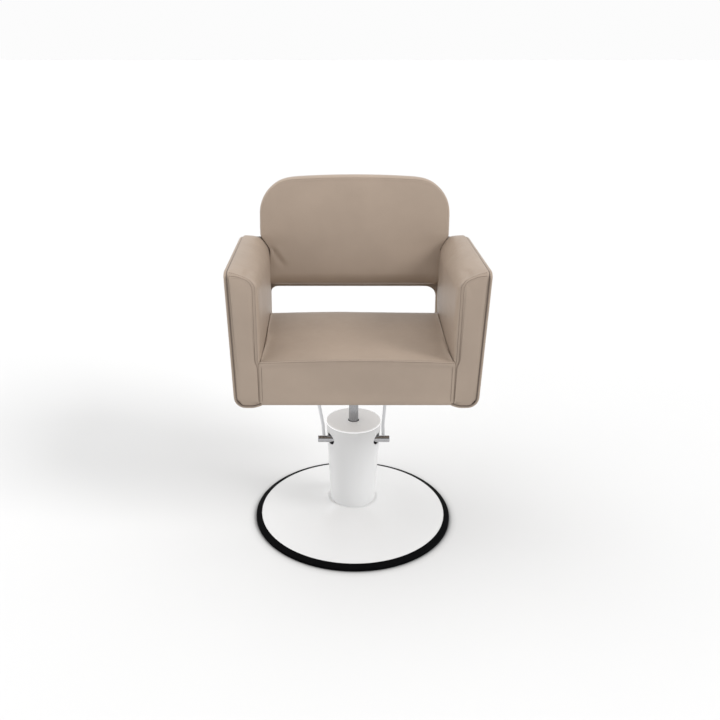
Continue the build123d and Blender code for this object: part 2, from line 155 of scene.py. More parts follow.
def leatherette(name, colour, rough=0.49, spread=0.05):
    """Smooth coated upholstery: fine pebble grain, faint broad mottling."""
    mat, tree, shader = principled(name, colour, rough, specular=0.50)
    broad = noise(tree, 9.0, 4.0)
    mottle = ramp(tree, broad, 0, 1, 0.3, 0.7)
    tone = two_tone(tree, mottle, scaled(colour, 1 - spread), scaled(colour, 1 + spread))
    tree.links.new(tone, shader.inputs["Base Color"])
    tree.links.new(ramp(tree, noise(tree, 60.0, 3.0), rough - 0.05, rough + 0.07), shader.inputs["Roughness"])
    coords = tree.nodes.new("ShaderNodeTexCoord")
    cells = tree.nodes.new("ShaderNodeTexVoronoi")
    cells.feature = "SMOOTH_F1"
    cells.inputs["Scale"].default_value = 780.0
    tree.links.new(coords.outputs["Object"], cells.inputs["Vector"])
    first = bump(tree, cells.outputs["Distance"], 0.16, 0.0006)
    second = bump(tree, noise(tree, 240.0, 4.0), 0.10, 0.0006, first)
    tree.links.new(bump(tree, broad, 0.10, 0.006, second), shader.inputs["Normal"])
    return mat


def gloss_paint(name, colour, rough=0.22, glow=0.0):
    """Powder-coated gloss: very faint orange peel and a few duller patches; glow is painted light, an
    emission that lifts it in deep shade.
    """
    mat, tree, shader = principled(name, colour, rough, specular=0.5)
    shader.inputs["Emission Color"].default_value = (1.0, 1.0, 1.0, 1.0)
    shader.inputs["Emission Strength"].default_value = glow
    tree.links.new(ramp(tree, noise(tree, 14.0, 3.0), rough - 0.04, rough + 0.08), shader.inputs["Roughness"])
    tone = two_tone(tree, noise(tree, 5.0, 2.0), scaled(colour, 0.985), scaled(colour, 1.0))
    tree.links.new(tone, shader.inputs["Base Color"])
    tree.links.new(bump(tree, noise(tree, 420.0, 2.0), 0.05, 0.0004), shader.inputs["Normal"])
    return mat


def polished(name, colour, rough=0.10, stretch=(1.0, 1.0, 1.0)):
    """Polished steel with drawn or turned hair lines."""
    mat, tree, shader = principled(name, colour, rough, metallic=1.0)
    lines = noise(tree, 160.0, 3.0, stretch=stretch)
    tree.links.new(ramp(tree, lines, rough * 0.7, rough * 1.7), shader.inputs["Roughness"])
    tree.links.new(bump(tree, lines, 0.06, 0.0003), shader.inputs["Normal"])
    return mat


def rubber(name, colour=(0.012, 0.012, 0.013), rough=0.5, specular=0.35):
    """Moulded rubber: satin, slightly dusty, with a fine pebble."""
    mat, tree, shader = principled(name, colour, rough, specular=specular)
    tree.links.new(ramp(tree, noise(tree, 30.0, 4.0), rough - 0.1, rough + 0.12), shader.inputs["Roughness"])
    tone = two_tone(tree, noise(tree, 18.0, 4.0), scaled(colour, 0.8), scaled(colour, 1.5))
    tree.links.new(tone, shader.inputs["Base Color"])
    tree.links.new(bump(tree, noise(tree, 900.0, 2.0), 0.18, 0.0004), shader.inputs["Normal"])
    return mat


def cast(name, colour, rough=0.62, metallic=0.6):
    """Rough casting or black coated steel."""
    mat, tree, shader = principled(name, colour, rough, metallic=metallic)
    grain = noise(tree, 220.0, 5.0)
    tree.links.new(ramp(tree, grain, rough - 0.1, rough + 0.1), shader.inputs["Roughness"])
    tone = two_tone(tree, noise(tree, 40.0, 3.0), scaled(colour, 0.85), scaled(colour, 1.15))
    tree.links.new(tone, shader.inputs["Base Color"])
    tree.links.new(bump(tree, grain, 0.2, 0.0006), shader.inputs["Normal"])
    return mat


def plywood(name):
    """Birch plywood: long grain on the faces, thin dark glue lines on the edges."""
    mat, tree, shader = principled(name, (0.5, 0.34, 0.19), 0.6)
    grain = noise(tree, 30.0, 5.0, stretch=(1.0, 6.0, 14.0))
    tone = two_tone(tree, grain, (0.40, 0.26, 0.13), (0.62, 0.45, 0.27))
    tree.links.new(tone, shader.inputs["Base Color"])
    tree.links.new(bump(tree, grain, 0.15, 0.0006), shader.inputs["Normal"])
    return mat


def cloth_black(name):
    """Thin woven lining."""
    mat, tree, shader = principled(name, (0.012, 0.012, 0.013), 0.9, specular=0.2)
    coords = tree.nodes.new("ShaderNodeTexCoord")
    waves = []
    for axis in ("X", "Y"):
        wave = tree.nodes.new("ShaderNodeTexWave")
        wave.bands_direction = axis
        wave.inputs["Scale"].default_value = 260.0
        tree.links.new(coords.outputs["Object"], wave.inputs["Vector"])
        waves.append(wave.outputs["Fac"])
    first = bump(tree, waves[0], 0.5, 0.0004)
    tree.links.new(bump(tree, waves[1], 0.5, 0.0004, first), shader.inputs["Normal"])
    tone = two_tone(tree, noise(tree, 25.0), (0.008, 0.008, 0.009), (0.02, 0.02, 0.021))
    tree.links.new(tone, shader.inputs["Base Color"])
    return mat


TAUPE = (0.320, 0.252, 0.198)
LEATHER = leatherette("leatherette_taupe", TAUPE)
# Painted light: the back cushion gets the same leatherette 9% lighter, standing in for more light falling on
# it.
LEATHER_BACK_PAINTED_LIGHT = leatherette("leatherette_back_painted_light", scaled(TAUPE, 1.09))
WELT = leatherette("leatherette_welt", (0.110, 0.080, 0.060), rough=0.45)
THREAD = leatherette("sewing_thread", (0.115, 0.080, 0.058), rough=0.6)
WHITE = gloss_paint("gloss_white", (0.68, 0.68, 0.68))
STEEL = polished("polished_steel", (0.46, 0.46, 0.47), 0.16, (0.2, 6.0, 6.0))
RAM_STEEL = polished("ground_ram", (0.36, 0.36, 0.37), 0.22, (6.0, 6.0, 0.3))
ROD = polished("rod_satin", (0.60, 0.605, 0.615), 0.30, (6.0, 0.3, 6.0))
ZINC = polished("zinc_plate", (0.62, 0.62, 0.60), 0.3)
TUBE = polished("drawn_tube", (0.45, 0.45, 0.46), 0.35, (6.0, 6.0, 0.3))
BRONZE = polished("bearing_bronze", (0.60, 0.40, 0.18), 0.3)
# Painted light: the cap glows a little so it stays bright in the seat's shade.
CAP_WHITE_PAINTED_GLOW = gloss_paint("gloss_white_cap_painted_glow", (0.82, 0.82, 0.82), 0.45, 0.27)
RIM_RUBBER = rubber("rim_rubber", (0.0030, 0.0030, 0.0033), 0.5, 0.01)
BLACK_RUBBER = rubber("black_rubber")
IRON = cast("cast_iron", (0.09, 0.09, 0.095))
BLACK_STEEL = cast("black_coat", (0.012, 0.012, 0.013), 0.45, 0.0)
PLY = plywood("birch_ply")
LINING = cloth_black("lining_cloth")

NODE_MATERIALS = {
    WHITE: ("base_cover", "column_cover"),
    CAP_WHITE_PAINTED_GLOW: ("column_cap",),
    RIM_RUBBER: ("base_rim",),
    BLACK_RUBBER: ("floor_pads", "ram_seal", "cap_grommet", "pedal_sleeve", "pedal_caps"),
    IRON: ("pump_foot", "pump_head"),
    BLACK_STEEL: ("base_plate", "swivel_hub", "seat_bracket"),
    STEEL: ("lever_shaft", "pedal_bar"),
    RAM_STEEL: ("ram",),
    ROD: ("lever_rod_left", "lever_rod_right"),
    TUBE: ("reservoir_tube", "cylinder_tube", "plunger_barrel", "gland_nut", "shaft_fingers", "plunger",
           "release_pin", "ram_piston"),
    ZINC: ("foot_bolts", "rod_screws", "plunger_spring", "bracket_bolts", "arm_bolts", "back_bolts"),
    BRONZE: ("shaft_bushes", "guide_bush", "ram_washer"),
    PLY: ("seat_board", "arm_frame_left", "arm_frame_right", "back_board"),
    LINING: ("dust_cover",),
}
for mat, names in NODE_MATERIALS.items():
    for name in names:
        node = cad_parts[name]
        for k in range(len(node.material_slots)):
            node.material_slots[k].material = mat


# ---------------- outlines and closed forms
def dense_outline(corners, radii, steps=10):
    """Closed 2D outline with rounded corners; also the index of each corner's middle point."""
    points, middles = [], []
    n = len(corners)
    for k in range(n):
        before, here, after = (np.array(corners[(k + d) % n], float) for d in (-1, 0, 1))
        a, b = before - here, after - here
        a /= np.linalg.norm(a)
        b /= np.linalg.norm(b)
        half = math.acos(np.clip(a @ b, -1, 1)) / 2
        reach = radii[k] / math.tan(half)
        centre = here + (a + b) / np.linalg.norm(a + b) * (radii[k] / math.sin(half))
        start, end = here + a * reach - centre, here + b * reach - centre
        turn = math.atan2(start[0] * end[1] - start[1] * end[0], start @ end)
        for s in range(steps + 1):
            angle = turn * s / steps
            c, d = math.cos(angle), math.sin(angle)
            points.append(centre + np.array((c * start[0] - d * start[1], d * start[0] + c * start[1])))
        middles.append(len(points) - 1 - steps // 2)
    return np.array(points), middles


def resample(line, count, bend=0.012):
    """count points along a line, closer together where it bends; the last point is left out."""
    gap = np.linalg.norm(np.diff(line, axis=0), axis=1)
    line = line[np.concatenate(([True], gap > 1e-9))]
    step = np.diff(line, axis=0)
    length = np.linalg.norm(step, axis=1)
    heading = np.unwrap(np.arctan2(step[:, 1], step[:, 0]))
    turning = np.concatenate((np.abs(np.diff(heading)), [0.0]))
    along = np.concatenate(([0.0], np.cumsum(length + bend * turning)))
    wanted = np.linspace(0, along[-1], count + 1)[:-1]
    return np.stack([np.interp(wanted, along, line[:, k]) for k in range(2)], axis=1)


def ring(corners, radii, ends, counts):
    """Rounded outline cut at the middle of four corners; each side gets its own number of points."""
    dense, middles = dense_outline(corners, radii)
    total = len(dense)
    sides = []
    for k in range(4):
        a, b = middles[ends[k]], middles[ends[(k + 1) % 4]]
        if b <= a:
            b += total
        sides.append(resample(dense[np.arange(a, b + 1) % total], counts[k]))
    return np.concatenate(sides)


def outward(points):
    """Outward unit normals of an anticlockwise 2D ring."""
    tangent = np.roll(points, -1, axis=0) - np.roll(points, 1, axis=0)
    tangent /= np.linalg.norm(tangent, axis=1)[:, None]
    return np.stack((tangent[:, 1], -tangent[:, 0]), axis=1)


def coons(loop, counts):
    """Grid of points that fills a four-sided ring."""
    nu, nv = counts[0], counts[1]
    low = loop[: nu + 1]
    right = loop[nu: nu + nv + 1]
    top = loop[nu + nv: 2 * nu + nv + 1][::-1]
    left = np.concatenate((loop[2 * nu + nv:], loop[:1]))[::-1]
    u = np.linspace(0, 1, nu + 1)[:, None, None]
    v = np.linspace(0, 1, nv + 1)[None, :, None]
    ruled = (1 - v) * low[:, None] + v * top[:, None] + (1 - u) * left[None] + u * right[None]
    corner = ((1 - u) * (1 - v) * low[0] + u * (1 - v) * low[-1] + (1 - u) * v * top[0] + u * v * top[-1])
    return ruled - corner


class Form:
    """Closed upholstered form: rings from one end to the other, a grid patch over each end.

    Each station is (ring, coarse, t): coarse stations take part in the cloth simulation,
    the others lie in a seam and follow their neighbours; t is the distance along the profile.
    last_cap shapes the grid over the last ring."""

    def __init__(self, name, counts, last_cap=None):
        self.name, self.counts = name, counts
        self.stations, self.last_cap = [], last_cap

    def add(self, loop, coarse=True, t=0.0):
        self.stations.append([np.array(loop, float), coarse, t])

    def mesh(self, loops):
        """Vertices and faces for a list of rings."""
        size = len(loops[0])
        nu, nv = self.counts[0], self.counts[1]
        verts = [np.concatenate(loops)]
        faces = []
        for s in range(len(loops) - 1):
            for i in range(size):
                j = (i + 1) % size
                faces.append((s * size + i, s * size + j, (s + 1) * size + j, (s + 1) * size + i))
        base = len(loops) * size
        for end, row in ((0, 0), (1, len(loops) - 1)):
            grid = coons(loops[row], self.counts)
            if end and self.last_cap is not None:
                grid = self.last_cap(grid)
            index = np.zeros((nu + 1, nv + 1), int)
            inner = grid[1:-1, 1:-1].reshape(-1, 3)
            index[1:-1, 1:-1] = base + np.arange(len(inner)).reshape(nu - 1, nv - 1)
            start = row * size
            index[:, 0] = start + np.arange(nu + 1)
            index[nu, :] = start + nu + np.arange(nv + 1)
            index[:, nv] = (start + nu + nv + np.arange(nu + 1))[::-1]
            index[0, :] = (start + (2 * nu + nv + np.arange(nv + 1)) % size)[::-1]
            verts.append(inner)
            base += len(inner)
            for a in range(nu):
                for b in range(nv):
                    quad = (index[a, b], index[a + 1, b], index[a + 1, b + 1], index[a, b + 1])
                    faces.append(quad if end else quad[::-1])
        return np.concatenate(verts), faces


def new_object(name, verts, faces, mat, smooth=True):
    """Mesh object with consistent outward normals."""
    mesh = bpy.data.meshes.new(name)
    mesh.from_pydata([tuple(v) for v in verts], [], [tuple(int(i) for i in f) for f in faces])
    work = bmesh.new()
    work.from_mesh(mesh)
    bmesh.ops.recalc_face_normals(work, faces=work.faces)
    work.to_mesh(mesh)
    work.free()
    if smooth:
        mesh.polygons.foreach_set("use_smooth", [True] * len(mesh.polygons))
    mesh.materials.append(mat)
    obj = bpy.data.objects.new(name, mesh)
    bpy.context.scene.collection.objects.link(obj)
    return obj


def subdivide(obj):
    """Smooths an object by one level of subdivision."""
    sub = obj.modifiers.new("smooth", "SUBSURF")
    sub.levels = sub.render_levels = 1


def coordinates(obj):
    """Vertex positions of an object's mesh, before its modifiers unless the object is evaluated."""
    co = np.empty(len(obj.data.vertices) * 3)
    obj.data.vertices.foreach_get("co", co)
    return co.reshape(-1, 3)


def set_coordinates(obj, co):
    """Moves an object's vertices to new positions."""
    obj.data.vertices.foreach_set("co", co.ravel())
    obj.data.update()


CLOTH_FRAMES = 20
CLOTH_TENSION = 25.0
CLOTH_PRESSURE = 3.0


def inflate(verts, faces, pins, cap):
    """Cloth simulation of a padded cover; returns how far each point moves, softly capped."""
    obj = new_object("inflating", verts, faces, LEATHER)
    group = obj.vertex_groups.new(name="pin")
    for weight in np.unique(pins[pins > 0]):
        group.add([int(i) for i in np.nonzero(pins == weight)[0]], float(weight), "REPLACE")
    cloth = obj.modifiers.new("cloth", "CLOTH")
    settings = cloth.settings
    settings.vertex_group_mass = "pin"
    settings.quality = 6
    settings.mass = 0.3
    settings.tension_stiffness = CLOTH_TENSION
    settings.compression_stiffness = CLOTH_TENSION
    settings.shear_stiffness = 8.0
    settings.bending_stiffness = 0.6
    settings.use_pressure = True
    settings.uniform_pressure_force = CLOTH_PRESSURE
    settings.effector_weights.gravity = 0.0
    cloth.collision_settings.use_collision = False
    cloth.point_cache.frame_start = 1
    cloth.point_cache.frame_end = CLOTH_FRAMES
    scene = bpy.context.scene
    for number in range(1, CLOTH_FRAMES + 1):
        scene.frame_set(number)
    done = obj.evaluated_get(bpy.context.evaluated_depsgraph_get())
    moved = coordinates(done) - verts
    scene.frame_set(1)
    bpy.data.objects.remove(obj)
    length = np.linalg.norm(moved, axis=1)[:, None] + 1e-12
    return moved / length * cap * np.tanh(length / cap)


def finish_form(form, mat, pin, swell):
    """Simulates the coarse stations, carries the seams along, and returns the object with its final rings.

    pin(verts, ring_of) gives a weight per coarse vertex; ring_of is the station index, or -1 in a cap.
    swell is the most that a point can move."""
    loops = [s[0] for s in form.stations]
    size = len(loops[0])
    coarse = [k for k, s in enumerate(form.stations) if s[1]]
    verts, faces = form.mesh(loops)
    sim_verts, sim_faces = form.mesh([loops[k] for k in coarse])
    ring_of = np.full(len(sim_verts), -1)
    for row, k in enumerate(coarse):
        ring_of[row * size:(row + 1) * size] = k
    pins = pin(sim_verts, ring_of)
    moved = inflate(sim_verts, sim_faces, pins, swell)
    full = np.zeros_like(verts)
    ts = np.array([s[2] for s in form.stations])
    order = np.array([ts[k] for k in coarse])
    by_ring = moved[: len(coarse) * size].reshape(len(coarse), size, 3)
    for k in range(len(loops)):
        hi = int(np.clip(np.searchsorted(order, ts[k]), 1, len(coarse) - 1))
        lo = hi - 1
        f = np.clip((ts[k] - order[lo]) / max(order[hi] - order[lo], 1e-9), 0, 1)
        full[k * size:(k + 1) * size] = (1 - f) * by_ring[lo] + f * by_ring[hi]
    full[len(loops) * size:] = moved[len(coarse) * size:]
    verts = verts + full
    obj = new_object(form.name, verts, faces, mat)
    subdivide(obj)
    rings = verts[: len(loops) * size].reshape(len(loops), size, 3)
    return obj, rings


# ---------------- sewing
def tube(name, path, radius, mat, sides=10, wobble=0.0):
    """Round cord through points, its thickness varying by a share of wobble."""
    path = np.array(path, float)
    n = len(path)
    tangent = np.gradient(path, axis=0)
    tangent /= np.linalg.norm(tangent, axis=1)[:, None]
    normal = np.cross(tangent[0], (0.31, 0.52, 0.79))
    verts, faces = [], []
    for k in range(n):
        normal = normal - tangent[k] * (normal @ tangent[k])
        normal /= np.linalg.norm(normal)
        side = np.cross(tangent[k], normal)
        r = radius * (1 + wobble * math.sin(k * 1.7) * math.sin(k * 0.61))
        for a in range(sides):
            angle = 2 * math.pi * a / sides
            verts.append(path[k] + (normal * math.cos(angle) + side * math.sin(angle)) * r)
    for k in range(n - 1):
        for a in range(sides):
            b = (a + 1) % sides
            m = k + 1
            faces.append((k * sides + a, k * sides + b, m * sides + b, m * sides + a))
    faces.append(tuple(range(sides))[::-1])
    faces.append(tuple((n - 1) * sides + a for a in range(sides)))
    return new_object(name, verts, faces, mat)


# One stitch from end to end: (place along it as a share of its length, thickness, height over the seam).
STITCH_PROFILE = (
    (-0.5, 0.35, -0.5), (-0.36, 0.9, 0.25), (0.0, 1.0, 0.55), (0.36, 0.9, 0.25), (0.5, 0.35, -0.5),
)


def stitch_verts(path, normals, pitch=0.0046, length=0.0036, radius=0.00055, sides=6):
    """Short thread beads lying along a seam line, their ends sunk into the cover."""
    step = np.linalg.norm(np.diff(path, axis=0), axis=1)
    along = np.concatenate(([0.0], np.cumsum(step)))
    verts, faces = [], []
    position = pitch * 0.5
    while position < along[-1] - pitch * 0.4:
        base = len(verts)
        for offset, width, lift in STITCH_PROFILE:
            at = position + offset * length
            p = np.array([np.interp(at, along, path[:, c]) for c in range(3)])
            q = np.array([np.interp(at + 0.001, along, path[:, c]) for c in range(3)])
            o = np.array([np.interp(at - 0.001, along, path[:, c]) for c in range(3)])
            n = np.array([np.interp(at, along, normals[:, c]) for c in range(3)])
            t = q - o
            t /= np.linalg.norm(t) + 1e-12
            n -= t * (n @ t)
            n /= np.linalg.norm(n) + 1e-12
            side = np.cross(t, n)
            for a in range(sides):
                angle = 2 * math.pi * a / sides
                spoke = n * math.cos(angle) + side * math.sin(angle)
                verts.append(p + n * (lift * radius) + spoke * radius * width)
        for s in range(len(STITCH_PROFILE) - 1):
            for a in range(sides):
                b = (a + 1) % sides
                faces.append((base + s * sides + a, base + s * sides + b,
                              base + (s + 1) * sides + b, base + (s + 1) * sides + a))
        faces.append(tuple(base + a for a in range(sides))[::-1])
        faces.append(tuple(base + (len(STITCH_PROFILE) - 1) * sides + a for a in range(sides)))
        position += pitch
    return verts, faces


def stitch_rows(name, rows, body):
    """One thread object for several rows; a row is (points, normals)."""
    verts, faces = [], []
    for path, normals in rows:
        v, f = stitch_verts(np.array(path), np.array(normals))
        faces += [tuple(i + len(verts) for i in face) for face in f]
        verts += v
    obj = new_object(name, verts, faces, THREAD)
    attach(obj, body)
    return obj


def row_normals(rings, k, picks):
    """Normals of the surface along station k at some ring points."""
    across = rings[k + 1][picks] - rings[k - 1][picks]
    along = np.gradient(rings[k][picks], axis=0)
    normal = np.cross(along, across)
    normal /= np.linalg.norm(normal, axis=1)[:, None] + 1e-12
    inner = rings[k].mean(axis=0)
    flip = np.sign(((rings[k][picks] - inner) * normal).sum(axis=1))
    if flip.sum() < 0:
        normal = -normal
    return normal


# Profiles across an edge: (distance along the profile, sink, kind).  Distance 0 is the seam of a
# sewn edge.  A seam is held still while the cover is inflated, a row carries top stitching.
ROW_AT = 0.0036
SEWN_EDGE = [
    (-0.0170, 0.0, "coarse"), (-0.0125, 0.0, ""), (-0.0085, 0.0, "coarse"), (-0.0058, 0.0, ""),
    (-0.0046, 0.0002, ""), (-0.0041, 0.0007, ""), (-ROW_AT, 0.0010, "row"), (-0.0031, 0.0007, ""),
    (-0.0025, 0.0002, ""), (-0.0014, 0.0, ""), (-0.0006, 0.0005, ""),
    (0.0, 0.0011, "seam"),
    (0.0006, 0.0005, ""), (0.0014, 0.0, ""), (0.0025, 0.0002, ""), (0.0031, 0.0007, ""),
    (ROW_AT, 0.0010, "row"), (0.0041, 0.0007, ""), (0.0046, 0.0002, ""), (0.0058, 0.0, ""),
    (0.0085, 0.0, "coarse"),
]
BORDER_EDGE = [
    (-0.0170, 0.0, "coarse"), (-0.0140, 0.0, ""), (-0.0110, 0.0, "coarse"), (-0.0080, 0.0, ""),
    (-0.0050, 0.0, "coarse"), (-0.0026, 0.0, ""), (-0.0014, 0.0002, ""), (-0.0006, 0.0006, ""),
    (0.0, 0.0011, "seam"),
    (0.0006, 0.0006, ""), (0.0014, 0.0002, ""), (0.0030, 0.0, ""), (0.0055, 0.0, "coarse"),
]


def edge_stations(radius, shift, sewn, profile):
    """Stations across a rounded edge: (drop before the end face, inset from the side, t, kind).

    radius, shift and sewn are given per ring point: the rounding, how far the seam lies beyond the
    middle of the rounding, and how deep it is sewn."""
    half = radius * math.pi / 4
    out = []
    for t, sink, kind in profile:
        angle = np.clip((t + shift + half) / radius, 0.0, math.pi / 2)
        drop = radius * (1 - np.sin(angle)) + np.maximum(-half - t - shift, 0.0)
        inset = radius * (1 - np.cos(angle)) + np.maximum(t + shift - half, 0.0)
        dip = sink * sewn
        out.append((drop + dip * np.sin(angle), inset + dip * np.cos(angle), t, kind))
    return out


TAIL_STATIONS = 3       # stations round the hidden end of a cover
BEFORE_EDGE = 0.004     # from the last even station to the edge's first


def upholster(name, counts, place, length, steps, edge, cap, hold, swell, tail=0.003, bulge=0.0, mat=LEATHER):
    """Padded cover lofted towards its visible end face.

    place(d, inset) gives the ring at a distance d before the end face, moved inwards by inset;
    hold(points) marks the points that lie against another piece; tail rounds the hidden end and
    bulge fills the sides.  Returns the object, its rings and the station numbers of the stitched rows."""
    form = Form(name, counts, last_cap=cap)
    kinds = []

    def add(d, inset, t, kind):
        form.add(place(d, inset), kind in ("coarse", "seam", "tail"), t)
        kinds.append(kind)

    add(length, tail * 1.4, -length - tail, "tail")
    add(length - tail * 0.3, tail * 0.3, -length, "tail")
    add(length - tail, 0.0, -length + tail * 0.8, "tail")
    first_drop, first_inset, first_t, _ = edge[0]
    for k in range(1, steps + 1):
        f = k / steps
        d = (length - tail) * (1 - f) + (first_drop + BEFORE_EDGE) * f
        t = (tail * 0.8 - length) * (1 - f) + (first_t - BEFORE_EDGE) * f
        add(d, first_inset * f ** 8 - bulge * math.sin(math.pi * f), t, "coarse")
    for drop, inset, t, kind in edge:
        add(drop, inset, t, kind)

    def pins(verts, ring_of):
        weight = np.where(hold(verts), 1.0, 0.0)
        held = [k for k, kind in enumerate(kinds) if kind in ("tail", "seam")]
        weight[np.isin(ring_of, held)] = 1.0
        first = (ring_of < 0) & (np.arange(len(verts)) < len(verts) - (counts[0] - 1) * (counts[1] - 1))
        weight[first] = 1.0
        return weight

    obj, rings = finish_form(form, mat, pins, swell)
    return obj, rings, [k for k, kind in enumerate(kinds) if kind == "row"]


def crowned(height, direction, power=2.6):
    """Cap shaper: raises the middle of an end face along a direction."""
    def shape(grid):
        u = np.linspace(-1, 1, grid.shape[0])[:, None, None]
        v = np.linspace(-1, 1, grid.shape[1])[None, :, None]
        return grid + height * (1 - np.abs(u) ** power) * (1 - np.abs(v) ** power) * np.array(direction)
    return shape


def dress(obj, body, node):
    """Attaches a visual piece to the body it rides on and hides the CAD node it stands for."""
    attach(obj, body)
    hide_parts(node)


def flipped(obj, name):
    """The same piece on the other side of the chair."""
    other = bpy.data.objects.new(name, obj.data.copy())
    bpy.context.scene.collection.objects.link(other)
    set_coordinates(other, coordinates(obj) * (-1, 1, 1))
    other.data.flip_normals()
    if obj.modifiers:
        subdivide(other)
    return other


# ---------------- camera, light and floor
CAMERA_PLACE = (-0.0615, -2.1895, 1.4343)
CAMERA_PITCH = 22.70    # degrees below the horizon
CAMERA_LENS = 40.91
CAMERA_SHIFT = 0.0375

# Name of each light, the direction it comes from, its width in degrees and its power.
SUNS = (
    ("key", (0.70, -0.40, 0.59), 22.0, 1.65),
    ("fill", (-0.66, -0.10, 0.75), 70.0, 0.85),
    ("top", (0.0, 0.05, 1.0), 80.0, 0.90),
)


def add_camera():
    """Camera in front of the chair, a little to the sitter's right, looking down."""
    cam = bpy.data.cameras.new("camera")
    cam.lens = CAMERA_LENS
    cam.shift_x = CAMERA_SHIFT
    obj = bpy.data.objects.new("camera", cam)
    obj.location = CAMERA_PLACE
    obj.rotation_euler = (math.radians(90 - CAMERA_PITCH), 0, 0)
    bpy.context.scene.collection.objects.link(obj)
    bpy.context.scene.camera = obj


def add_sun(name, direction, width, power):
    """Even soft light from a direction; a wider one has softer shadows."""
    light = bpy.data.lights.new(name, "SUN")
    light.angle = math.radians(width)
    light.energy = power
    obj = bpy.data.objects.new(name, light)
    obj.location = direction
    obj.rotation_euler = (Vector((0, 0, 0)) - Vector(direction)).to_track_quat("-Z", "Y").to_euler()
    bpy.context.scene.collection.objects.link(obj)


def add_surround():
    """White surround: brightest at the horizon and on the left, dimmer high up in front of the chair."""
    world = bpy.data.worlds.new("surround")
    world.use_nodes = True
    tree = world.node_tree
    coords = tree.nodes.new("ShaderNodeTexCoord")
    split = tree.nodes.new("ShaderNodeSeparateXYZ")
    tree.links.new(coords.outputs["Generated"], split.inputs["Vector"])
    background = tree.nodes["Background"]
    background.inputs["Color"].default_value = (1.0, 1.0, 1.0, 1.0)
    height = ramp(tree, split.outputs["Z"], 0.972, 0.76, 0.25, 0.80)
    front = ramp(tree, split.outputs["Y"], 1.0, 0.0, -0.9, 0.2)
    raised = ramp(tree, split.outputs["Z"], 0.0, 1.0, 0.18, 0.40)
    shade = ramp(tree, product(tree, front, raised), 1.0, 0.35)
    left = ramp(tree, split.outputs["X"], 1.60, 1.0, -0.95, -0.35)
    tree.links.new(product(tree, product(tree, height, shade), left), background.inputs["Strength"])
    bpy.context.scene.world = world


def add_floor():
    """Plain pale floor with a painted contact shadow: darker in a narrow band where something stands on it.
    """
    mat, tree, shader = principled("floor_white", (0.656, 0.656, 0.656), 0.9, specular=0.1)
    # Painted shadow: ambient occlusion darkens the floor's colour close to whatever stands on it.
    near = tree.nodes.new("ShaderNodeAmbientOcclusion")
    near.inputs["Distance"].default_value = 0.026
    painted_contact_shadow = ramp(tree, near.outputs["AO"], 0.18, 1.0, 0.50, 0.985)
    plain = ramp(tree, noise(tree, 3.0), 0.652, 0.660)
    tree.links.new(product(tree, plain, painted_contact_shadow), shader.inputs["Base Color"])
    corners = [(-30, -30, 0), (30, -30, 0), (30, 30, 0), (-30, 30, 0)]
    floor = new_object("floor", corners, [(0, 1, 2, 3)], mat, smooth=False)


add_camera()
add_surround()
for sun in SUNS:
    add_sun(*sun)
add_floor()
bpy.context.scene.view_settings.view_transform = "Standard"
bpy.context.scene.view_settings.look = "None"


# ---------------- seat
LEAN_OUT_Y = (-0.16, 0.19)      # seat and arms lean outwards between these depths

# Each cover has its number of points along its four sides, anticlockwise.
SEAT_COUNTS = (56, 44, 56, 44)
SEAT_HALF = 0.2476
SEAT_EDGE_Z = 0.6232    # top of the front edge
SEAM_TOP_Z = 0.612      # the seams up the front face end here


def make_seat():
    """Seat block: crowned top, sewn front edge, rolled rear edge."""
    counts = SEAT_COUNTS
    x, y0, y1 = SEAT_HALF, FRONT_Y, SEAT_HI.y - 0.002
    base = ring([(-x, y0), (x, y0), (x, y1), (-x, y1)], (0.0015, 0.0015, 0.012, 0.012), (0, 1, 2, 3), counts)
    normals = outward(base)
    front = smooth_step(-base[:, 1], -y0 - 0.012, -y0)
    base[:, 0] += np.sign(base[:, 0]) * 0.0052 * front * (np.abs(base[:, 0]) > x - 0.003)
    base[:, 1] += 0.0004 * front
    low, high = SEAT_LO.z, SEAT_EDGE_Z
    narrow = 0.45 + 0.55 * front

    def place(d, inset):
        p = base - normals * (inset * narrow)[:, None]
        back = np.clip((p[:, 1] - y0) / 0.38, 0, 1)
        rise = 0.0055 * (1 - np.clip(np.abs(p[:, 0]) / x, 0, 1) ** 2) * (1 - 0.65 * back)
        roll = np.clip(p[:, 1] - 0.122, 0, None) ** 2 / 0.110
        top = high + rise - 0.0052 * back - roll
        spread = np.where(p[:, 0] > 0, 0.0080, -0.0032) * (p[:, 0] / x) ** 2
        across = p[:, 0] + spread * smooth_step(p[:, 1], *LEAN_OUT_Y)
        return np.column_stack((across, p[:, 1], top - d * (top - low) / (high - low)))

    def hold(points):
        flank = (np.abs(points[:, 0]) > x - 0.004) & (points[:, 2] < 0.611)
        return flank | (points[:, 1] > 0.15) | (points[:, 2] < low + 0.02)

    edge = edge_stations(np.full(len(base), 0.0105), np.zeros(len(base)), front, SEWN_EDGE)
    seat, rings, rows = upholster(
        "seat_cushion_cover", counts, place, high - low, 11, edge,
        crowned(0.0060, (0, 0, 1)), hold, swell=0.004, tail=0.005, bulge=0.0006,
    )
    dress(seat, "chair", "seat_cushion")
    picks = np.arange(1, counts[0])
    threads = [(rings[k][picks], row_normals(rings, k, picks)) for k in rows]
    threads += [front_row(rings, sign * (SEAT_HALF - 0.0024)) for sign in (-1, 1)]
    stitch_rows("seat_stitching", threads, "chair")


def front_row(rings, x):
    """Stitch line up the front face at a given x, on the finished surface."""
    points = []
    for loop in rings[TAIL_STATIONS:]:
        line = loop[:SEAT_COUNTS[0] + 1]
        order = np.argsort(line[:, 0])
        at = [np.interp(x, line[order, 0], line[order, c]) for c in range(3)]
        if at[2] < SEAM_TOP_Z:
            points.append((at[0], at[1] - 0.0002, at[2]))
    return np.array(points), np.tile((0.0, -1.0, 0.0), (len(points), 1))


